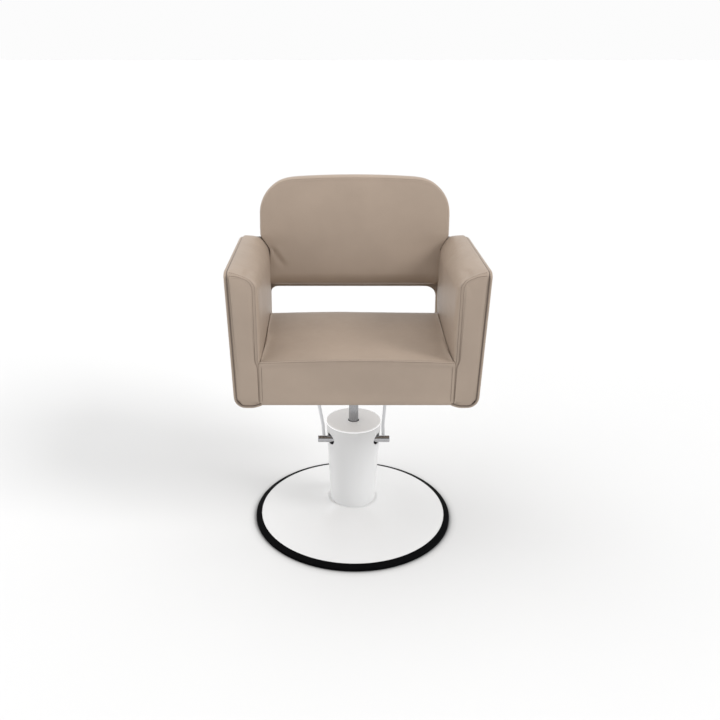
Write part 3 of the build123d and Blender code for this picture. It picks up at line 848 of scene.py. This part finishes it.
# ---------------- arms, built on the +X side
LEVEL_END_Y = 0.105     # the arm's top is almost level up to here
FALL_BEND = 0.06        # length over which it bends down to its slope
FALL_SLOPE = 0.27
FALL_Z = (0.66, 0.84)   # the fall fades in between these heights
OUT_LOW, OUT_TOP = 0.3198, 0.3309       # outer cover's X at the bottom and at the top
OUTER_TOP_Z = 0.8580    # top edge of the outer cover at the front
PANEL_T = 0.0079        # thickness of the outer cover
WELT_INSET = 0.0077     # from the outer surface to the welt
PAD_INSET = 0.0076      # from the outer cover's underside to the pad's
FRONT_BEND = 0.022      # rounding of the outer top corner at the front


def arm_fall(y):
    """How far the arm's top lies below its front end: almost level, then falling to the back."""
    level = 0.009 * np.clip((y - FRONT_Y) / (LEVEL_END_Y - FRONT_Y), 0, 1)
    s = np.clip(y - LEVEL_END_Y, 0, None)
    bent, straight = 0.135 * s ** 2 / FALL_BEND, 0.0081 + FALL_SLOPE * (s - FALL_BEND)
    return level + np.where(s < FALL_BEND, bent, straight)


def front_corner(y, y0):
    """How far the arm's outer top edge is rounded down at its front end."""
    return 0.85 * FRONT_BEND * (1 - np.sqrt(1 - np.clip((y0 + FRONT_BEND - y) / FRONT_BEND, 0, 1) ** 2))


def arm_section(f, counts):
    """Ring of the arm pad in X and Z at a fraction of its length, before the top falls away."""
    g = float(smooth_step(f, 0.0, 0.85))
    corners = [
        (0.2480, PANEL_LO.z + PAD_INSET), (0.3125, PANEL_LO.z + PAD_INSET), (0.3235, 0.8645 - 0.001 * g),
        (0.2482 - 0.0010 * g, 0.8340 + 0.026 * g),
    ]
    points = ring(corners, (0.0015, 0.024, 0.006, 0.024 + 0.034 * g), (0, 1, 2, 3), counts)
    normals = outward(points)
    inner = smooth_step(-points[:, 0], -0.275, -0.252)
    high = smooth_step(points[:, 1], 0.625, 0.70)
    fullness = high * (1 - smooth_step(points[:, 1], 0.77, 0.85))
    points[:, 0] -= inner * 0.0015 * g * fullness
    beside_seat = inner * (1 - smooth_step(points[:, 1], 0.606, 0.626)) * (1 - smooth_step(f, 0.01, 0.06))
    points[:, 0] += 0.0022 * beside_seat
    return points, normals, inner * smooth_step(points[:, 1], 0.604, 0.624), beside_seat


def lean_out(obj, reach):
    """Lets the arm's inner face lean outwards towards the back; the two sides are not quite alike."""
    co = coordinates(obj)
    inner = smooth_step(-np.abs(co[:, 0]), -0.290, -0.255)
    co[:, 0] += np.sign(co[:, 0]) * reach * inner * smooth_step(co[:, 1], *LEAN_OUT_Y)
    set_coordinates(obj, co)


def make_arms():
    """Arm pads with a sewn front panel, outer covers and dark welts."""
    counts = (18, 46, 18, 46)
    y0 = ARM_LO.y + 0.0012

    def place(d, inset):
        points, normals, _, _ = arm_section(min(float(np.mean(d)) / ARM_LENGTH, 1.0), counts)
        points = points - normals * (inset * np.ones(len(points)))[:, None]
        rear = np.array([board_y(z) for z in points[:, 1]])
        y = y0 + d * (rear - y0) / ARM_LENGTH
        z = points[:, 1] - arm_fall(y) * smooth_step(points[:, 1], *FALL_Z)
        outside = smooth_step(points[:, 0], 0.2935, 0.3250) * smooth_step(points[:, 1], 0.790, 0.855)
        return np.column_stack((points[:, 0], y, z - 0.6 * outside * front_corner(y, y0)))

    def hold(points):
        outer = points[:, 0] > 0.3090 + (points[:, 2] - 0.49) * 0.030
        low = points[:, 2] < 0.617
        return (outer | low) & (points[:, 1] > y0 + 0.006) | (points[:, 1] > 0.17)

    section, _, free_inner, beside_seat = arm_section(0.0, counts)
    below_top = 1 - smooth_step(section[:, 1], 0.846, 0.862)
    outer_side = smooth_step(section[:, 0], 0.3075, 0.3135)
    underside = smooth_step(-section[:, 1], -0.506, -0.498)
    beside_welt = np.maximum(outer_side, underside) * (below_top * (1 - beside_seat))
    radius = 0.0080 + 0.0020 * free_inner - 0.0068 * np.maximum(beside_seat, beside_welt)
    shift = 0.0078 * free_inner + 0.0012 * beside_seat
    edge = edge_stations(radius, shift, 1 - beside_welt, SEWN_EDGE)
    arm, rings, rows = upholster(
        "arm_pad_cover_left", counts, place, ARM_LENGTH, 50, edge,
        crowned(0.0022, (0, -1, 0), 3.0), hold, swell=0.0028, tail=0.002,
    )
    other = flipped(arm, "arm_pad_cover_right")
    lean_out(arm, 0.0085)
    lean_out(other, 0.0035)
    picks = np.arange(counts[0] + counts[1] + 2, len(rings[0]) - 1)
    upper = picks[:-14]
    threads = [(rings[rows[0]][upper], row_normals(rings, rows[0], upper)),
               (rings[rows[1]][picks], row_normals(rings, rows[1], picks))]
    swapped = [(path * (-1, 1, 1), normal * (-1, 1, 1)) for path, normal in threads]
    for side, obj, rowset in (("left", arm, threads), ("right", other, swapped)):
        dress(obj, "chair", "arm_pad_" + side)
        stitch_rows("arm_stitching_" + side, rowset, "chair")

    panel = outer_panel()
    welt = arm_welt()
    for obj, kind, node, slot in ((panel, "arm_outer_cover", "arm_panel", "leatherette_panel"),
                                  (welt, "arm_welt", "arm_piping", "piping")):
        right = flipped(obj, kind + "_right")
        dress(obj, "chair", node + "_left")
        dress(right, "chair", node + "_right")


def side_line(offset, count):
    """Line under and up the outside of the arm, at an offset inside the outer surface; X and Z."""
    low, out_low, out_top, top = PANEL_LO.z + offset, OUT_LOW - offset, OUT_TOP - offset, OUTER_TOP_Z
    corners = [(0.2488, low + 0.0065), (0.2680, low), (out_low, low), (out_top, top), (0.10, 0.9)]
    dense, _ = dense_outline(corners, (0.0001, 0.030, 0.030 - offset, 0.0001, 0.0001), 12)
    first, last = (int(np.argmin(np.abs(dense - corners[k]).sum(axis=1))) for k in (0, 3))
    line = resample(dense[first:last + 1], count)
    return np.concatenate((line, dense[last:last + 1]))


def outer_panel():
    """Thin padded cover under and outside the arm, its top front corner rounded."""
    t, count = PANEL_T, 46
    middle = side_line(t / 2, count)
    tangent = np.gradient(middle, axis=0)
    tangent /= np.linalg.norm(tangent, axis=1)[:, None]
    side = np.stack((tangent[:, 1], -tangent[:, 0]), axis=1)
    counts = (count, 3, count, 3)
    y0 = FRONT_Y + 0.0010
    bulge = np.sin(np.linspace(0, math.pi, count + 1))[:, None] ** 0.5

    def place(d, inset):
        half = t / 2 - inset
        swell = 0.0012 * math.sin(math.pi * min(d / ARM_LENGTH, 1.0)) ** 0.5
        outer = middle + side * (half + swell * bulge)
        inner = middle - side * half
        ends = []
        for a, b, way in ((outer[-1], inner[-1], tangent[-1]), (inner[0], outer[0], -tangent[0])):
            ends.append([a * (1 - k / 3) + b * k / 3 + way * 0.0008 * (k > 0) for k in (0, 1, 2)])
        loop = np.concatenate((outer[:-1], ends[0], inner[::-1][:-1], ends[1]))
        rear = np.array([board_y(z) for z in loop[:, 1]])
        y = y0 + d * (rear - y0) / ARM_LENGTH
        z = loop[:, 1] - (arm_fall(y) + front_corner(y, y0)) * smooth_step(loop[:, 1], *FALL_Z)
        return np.column_stack((loop[:, 0], y, z))

    form = Form("arm_outer_cover_left", counts)
    rounding = ((0.0, 0.0026), (0.0004, 0.0014), (0.0014, 0.0005), (0.0032, 0.0), (0.008, 0.0), (0.014, 0.0))
    for d, inset in rounding:
        form.add(place(d, inset))
    for d in np.linspace(0.022, ARM_LENGTH - 0.0015, 40):
        form.add(place(float(d), 0.0))
    form.add(place(ARM_LENGTH - 0.0002, 0.0012))
    verts, faces = form.mesh([s[0] for s in form.stations])
    obj = new_object(form.name, verts, faces, LEATHER)
    subdivide(obj)
    return obj


def arm_welt():
    """Dark cord in the seam between pad and outer cover: along the bottom, up the front and back along the
    top, round the rear corner and in to the back cushion."""
    line = side_line(WELT_INSET, 90)
    y = FRONT_Y + 0.0002
    bend = FRONT_BEND
    path = [(x, y, z) for x, z in line if z < line[-1][1] - 0.85 * bend]
    x, top = line[-1]
    for k in range(1, 9):
        angle = math.pi / 2 * k / 8
        at = y + bend * (1 - math.cos(angle))
        path.append((x - 0.0004 * k / 8, at, top - 0.85 * bend * (1 - math.sin(angle)) - float(arm_fall(at))))
    end = board_y(0.834) - 0.003
    for at in np.linspace(y + bend + 0.008, end - 0.006, 54):
        path.append((x - 0.0004, at, top - float(arm_fall(at))))
    for across in np.linspace(0.006, 0.050, 12):
        path.append((x - across, end, top - float(arm_fall(end)) + 0.0012))
    return tube("arm_welt_left", path, 0.0014, WELT, wobble=0.05)


# ---------------- back
BACK_HALF = 0.274
CUSHION_FOOT = 0.0845   # v of the cushion's lower edge
HEAD_R = 0.094          # rounding of the two top corners


def back_corners(half, shoulder_low, shoulder_high, head, foot, top):
    """Corners of the back's outline, anticlockwise from the lower left; head is the half width on top."""
    right = [(half, foot), (half, shoulder_low), (head, shoulder_high), (head, top)]
    return [(-half, foot)] + right + [(-u, v) for u, v in right[:0:-1]]


def arched(flat):
    """Outline of the back with its top edge slightly arched."""
    rise = 0.0126 * (1 - (flat[:, 0] / BACK_HALF) ** 2) * smooth_step(flat[:, 1], 0.26, 0.39)
    return np.column_stack((flat[:, 0], flat[:, 1] + rise))


def roll_under(obj, reach, depth):
    """Lets the cushion's front face turn back along its lower edge."""
    co = coordinates(obj)
    v, w = (co - BACK_FOOT) @ UPWARD, (co - BACK_FOOT) @ FORWARD
    turned = np.clip((CUSHION_FOOT + reach - v) / reach, 0, 1) ** 2
    co -= np.outer(depth * turned * smooth_step(w, -CUSHION_T, 0.0), FORWARD)
    set_coordinates(obj, co)


def make_back_cushion():
    """Front cushion of the back: rounded head, shoulders that follow the arms, border seam.

    Some corners are moved a little outwards from a symmetric outline, more of them on the +X side."""
    counts = (56, 50, 56, 50)
    corners = back_corners(0.2478, 0.190, 0.232, 0.2765, CUSHION_FOOT, 0.3915)
    moved = (-0.0045, 0.0100, 0.0080, 0.0045, 0.0045, 0, 0, 0)
    corners = [(u + shift, v) for (u, v), shift in zip(corners, moved)]
    radii = (0.012, 0.012, 0.030, 0.010, HEAD_R, HEAD_R, 0.010, 0.030)
    base = ring(corners, radii, (0, 1, 4, 5), counts)
    normals = outward(base)

    def place(d, inset):
        p = arched(base - normals * (inset * np.ones(len(base)))[:, None])
        points = BACK_FOOT + np.outer(p[:, 0], ACROSS) + np.outer(p[:, 1], UPWARD)
        return points - np.outer(d * np.ones(len(base)), FORWARD)

    def front_face(grid):
        """Crowned face with one short pulled crease beside the right arm."""
        grid = crowned(0.0070, FORWARD)(grid)
        u, v = grid[..., 0], (grid - BACK_FOOT) @ UPWARD
        start, end = np.array((-0.2400, 0.1900)), np.array((-0.2050, 0.1380))
        way = (end - start) / np.linalg.norm(end - start)
        along = (u - start[0]) * way[0] + (v - start[1]) * way[1]
        aside = (u - start[0]) * way[1] - (v - start[1]) * way[0]
        fade = smooth_step(along, -0.016, 0.010) * (1 - smooth_step(along, 0.035, 0.075))
        groove, ridge = np.exp(-(aside / 0.006) ** 2), np.exp(-((aside + 0.013) / 0.008) ** 2)
        fold = -0.0032 * groove + 0.0022 * ridge
        return grid + (fold * fade)[..., None] * FORWARD

    def hold(points):
        v = (points - BACK_FOOT) @ UPWARD
        w = (points - BACK_FOOT) @ FORWARD
        return (np.abs(points[:, 0]) > 0.242) & (v < 0.20) & (w < -0.002) | (w < -CUSHION_T + 0.006)

    over_arms = smooth_step(base[:, 1], 0.225, 0.245)
    between_arms = smooth_step(-np.abs(base[:, 0]), -0.240, -0.225)
    free = np.clip(over_arms + between_arms, 0, 1)
    edge = edge_stations(0.0018 + 0.0067 * free, 0.0012 + 0.0050 * free, free, BORDER_EDGE)
    cushion, _, _ = upholster(
        "back_cushion_cover", counts, place, CUSHION_T, 3, edge,
        front_face, hold, swell=0.005, bulge=0.0012, mat=LEATHER_BACK_PAINTED_LIGHT,
    )
    roll_under(cushion, 0.036, 0.012)
    dress(cushion, "chair", "back_cushion")


def make_back_shell():
    """Cover round the back board with the window between seat and back, sewn near its rear edge."""
    counts = (50, 56, 50, 56)
    shoulder, small = 0.2210, 0.004
    outer_corners = back_corners(0.3165, shoulder, shoulder, 0.2755, -0.1160, 0.3910)
    radii = (0.020, 0.020, small, small, HEAD_R, HEAD_R, small, small)
    outer = ring(outer_corners, radii, (0, 1, 4, 5), counts)
    inner_corners = [(-0.2508, -0.0225), (0.2542, -0.0225), (0.2542, 0.0725), (-0.2508, 0.0725)]
    inner = ring(inner_corners, (0.013, 0.013, 0.034, 0.020), (0, 1, 2, 3), counts)
    out_n, in_n = outward(outer), outward(inner)
    front, rear = BOARD_FACE + 0.0003, -0.0738
    loops = []

    def add(flat, w, sink=0.0):
        u, v = arched(flat).T
        loops.append(BACK_FOOT + np.outer(u, ACROSS) + np.outer(v, UPWARD) + FORWARD * (w + sink))

    def bend(ring_points, normals, side, w_face, turn, radius):
        """Quarter round between the edge and a face; turn 0 is at the edge."""
        angle = turn * math.pi / 2
        off = radius * (1 - math.cos(angle))
        back = radius * (1 - math.sin(angle))
        toward = 1 if w_face == front else -1
        add(ring_points - side * normals * off, w_face - toward * back)

    for turn in (0.0, 0.34, 0.67, 1.0):
        bend(outer, out_n, 1, front, turn, 0.003)
    loops.reverse()
    for depth in (0.3, 0.5, 0.7):
        add(outer + out_n * 0.0006, front - 0.003 + (rear - front + 0.010) * depth)
    for turn in (0.0, 0.2, 0.4, 0.6, 0.8, 1.0):
        bend(outer, out_n, 1, rear, turn, 0.007)
    o_edge, i_edge = outer - out_n * 0.0115, inner + in_n * 0.0095
    for inset, sink in ((0.0078, 0.0008), (0.0084, 0.0016), (0.0090, 0.0008)):
        add(outer - out_n * inset, rear, sink)
    for f in np.linspace(0, 1, 15):
        fullness = 0.0028 * (4 * f * (1 - f)) ** 0.6
        add(o_edge * (1 - f) + i_edge * f, rear, -fullness)
    for turn in (1.0, 0.67, 0.34, 0.0):
        bend(inner, in_n, -1, rear, turn, 0.006)
    for depth in (0.7, 0.3):
        add(inner, front - 0.003 + (rear - front + 0.009) * depth)
    for turn in (0.0, 0.5, 1.0):
        bend(inner, in_n, -1, front, turn, 0.003)
    for f in (0.75, 0.5, 0.25):
        add((outer - out_n * 0.003) * (1 - f) + (inner + in_n * 0.003) * f, front)
    size, rows = len(outer), len(loops)
    faces = []
    for a in range(rows):
        b = (a + 1) % rows
        for i in range(size):
            j = (i + 1) % size
            faces.append((a * size + i, a * size + j, b * size + j, b * size + i))
    shell = new_object("back_shell_cover", np.concatenate(loops), faces, LEATHER)
    subdivide(shell)
    dress(shell, "chair", "back_panel")


make_seat()
make_arms()
make_back_cushion()
make_back_shell()
